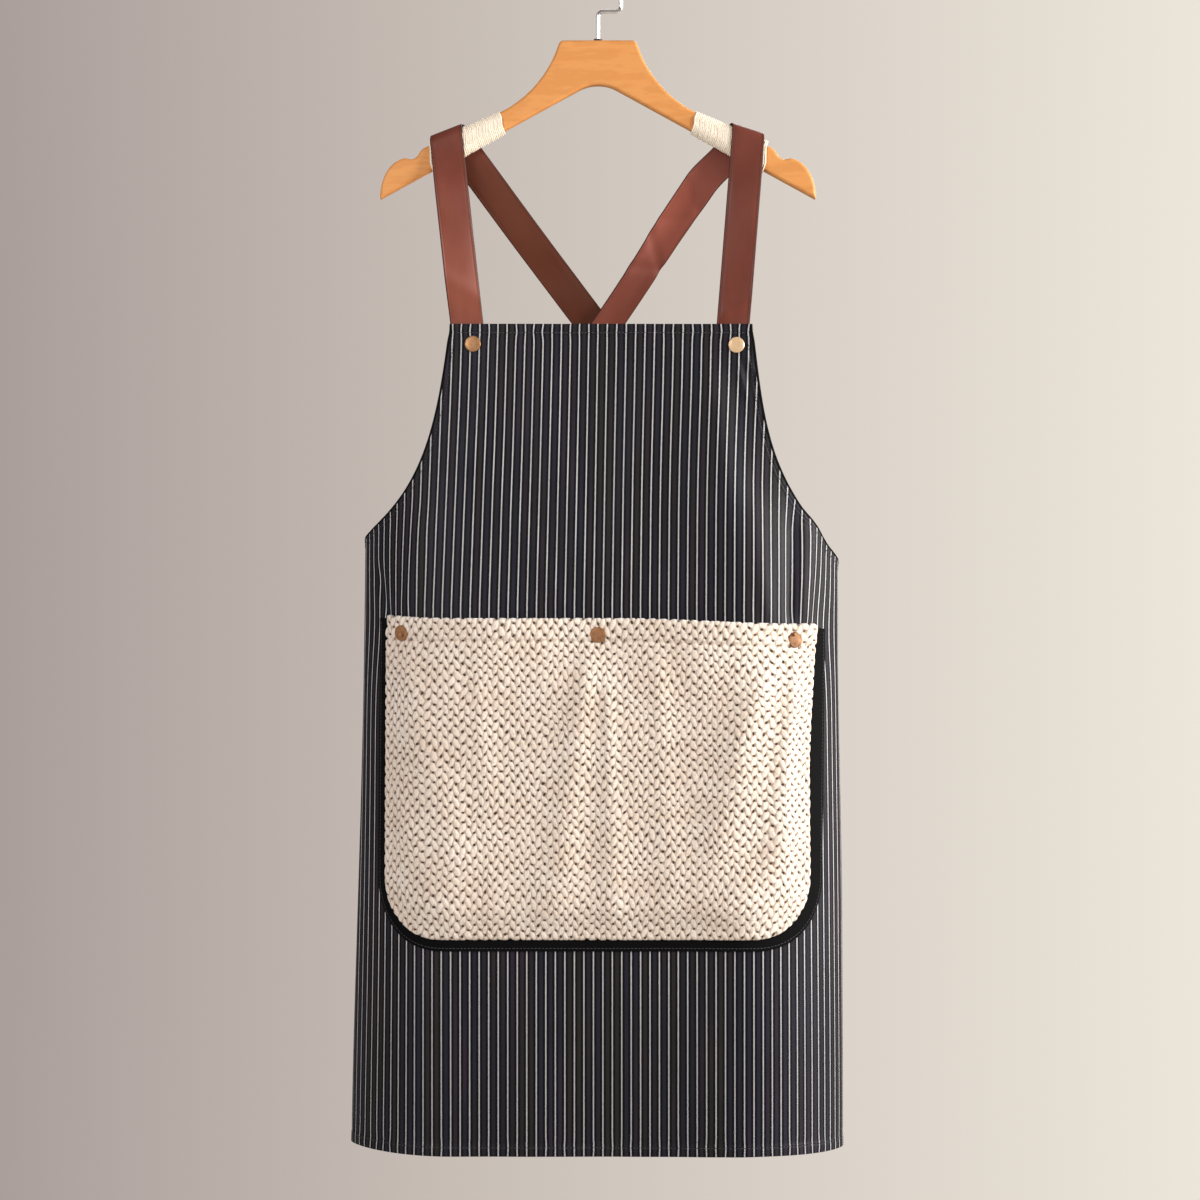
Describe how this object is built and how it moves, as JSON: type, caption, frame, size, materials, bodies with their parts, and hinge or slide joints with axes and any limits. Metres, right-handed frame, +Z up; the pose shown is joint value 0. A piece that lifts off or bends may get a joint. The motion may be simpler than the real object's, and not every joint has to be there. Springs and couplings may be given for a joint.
{
  "type": "apron on a hanger",
  "caption": "Cross-back work apron with a kangaroo pocket, hung by its two straps on a wooden clothes hanger with a swivelling wire hook.",
  "frame": {"origin": "where the rail touches the inside of the hook's crown, on the swivel axis", "axes": "+Z up along the hook's neck, +X to the right seen from the front, -Y is the front"},
  "size_m": [0.5076, 0.1251, 1.186],
  "materials": {
    "chrome_wire": "polished",
    "steel_fittings": "plain",
    "dark_bush": "satin",
    "lacquered_wood": "clear gloss lacquer",
    "cotton_cord": "wound cord",
    "striped_cloth": "woven ticking with thin white stripes",
    "black_tape": "twill tape",
    "black_backing": "plain weave",
    "cream_fleece": "dimpled plush knit",
    "brown_strap": "smooth, slight sheen",
    "sewing_thread": "twisted thread",
    "brass_rivet": "aged brass"
  },
  "bodies": {
    "hook": {"hook_wire": "chrome_wire", "retaining_collar": "steel_fittings", "thrust_washer": "steel_fittings"},
    "hanger": {"swivel_bush": "dark_bush", "hanger_wood": "lacquered_wood", "grip_wrap_left": "cotton_cord", "grip_wrap_right": "cotton_cord"},
    "apron": {"apron_panel": "striped_cloth", "armhole_binding_left": "black_tape", "armhole_binding_right": "black_tape", "pocket_backing": "black_backing", "pocket_fleece": "cream_fleece", "strap_left": "brown_strap", "strap_right": "brown_strap", "strap_stitching_left": "sewing_thread", "strap_stitching_right": "sewing_thread", "bib_rivet_cap_left": "brass_rivet", "bib_rivet_cap_right": "brass_rivet", "bib_rivet_post_left": "brass_rivet", "bib_rivet_post_right": "brass_rivet", "pocket_rivet_cap_left": "brass_rivet", "pocket_rivet_cap_centre": "brass_rivet", "pocket_rivet_cap_right": "brass_rivet", "pocket_rivet_post_left": "brass_rivet", "pocket_rivet_post_centre": "brass_rivet", "pocket_rivet_post_right": "brass_rivet"}
  },
  "joints": [
    {"name": "hanger_swivel", "type": "hinge", "parent": "hook", "child": "hanger", "pos_m": [0, 0, 0], "axis": [0, 0, 1], "continuous": true},
    {"name": "apron_lift", "type": "slide", "parent": "hanger", "child": "apron", "axis": [0, 0, 1], "range_m": [0, 0.06]}
  ]
}
